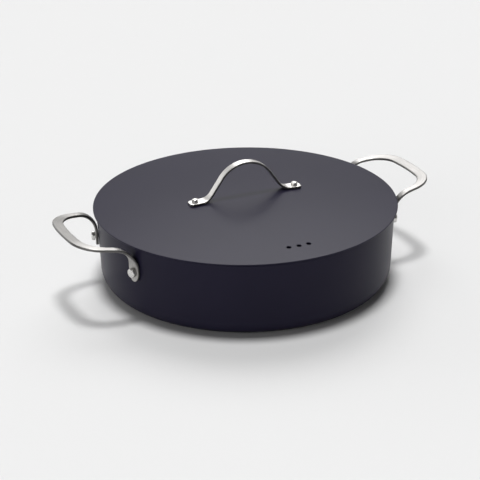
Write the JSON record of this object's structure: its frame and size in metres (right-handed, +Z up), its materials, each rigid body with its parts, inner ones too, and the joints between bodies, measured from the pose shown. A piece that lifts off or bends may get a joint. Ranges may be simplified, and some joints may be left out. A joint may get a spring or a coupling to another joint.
{
  "type": "saute pan",
  "caption": "Low round pan with two riveted loop handles and a lift-off vented lid with a riveted strap handle.",
  "frame": {"origin": "middle of the flat underside, on the surface that the pan stands on", "axes": "+Z up out of the pan, +X towards the right loop handle, and the lid's steam vents on the -Y side"},
  "size_m": [0.4028, 0.3118, 0.1249],
  "materials": {
    "anodised_aluminium": "matt, dark blue-black hard anodised",
    "brushed_steel": "satin brushed along the bar",
    "rivet_steel": "satin"
  },
  "bodies": {
    "pan": {"pan_body": "anodised_aluminium", "left_side_handle": "brushed_steel", "right_side_handle": "brushed_steel", "left_front_rivet": "rivet_steel", "left_rear_rivet": "rivet_steel", "right_front_rivet": "rivet_steel", "right_rear_rivet": "rivet_steel"},
    "lid": {"lid": "anodised_aluminium", "lid_handle": "brushed_steel", "lid_left_rivet": "rivet_steel", "lid_right_rivet": "rivet_steel"}
  },
  "joints": [
    {"name": "lid_lift", "type": "slide", "parent": "pan", "child": "lid", "axis": [0, 0, 1], "range_m": [0, 0.12]}
  ]
}
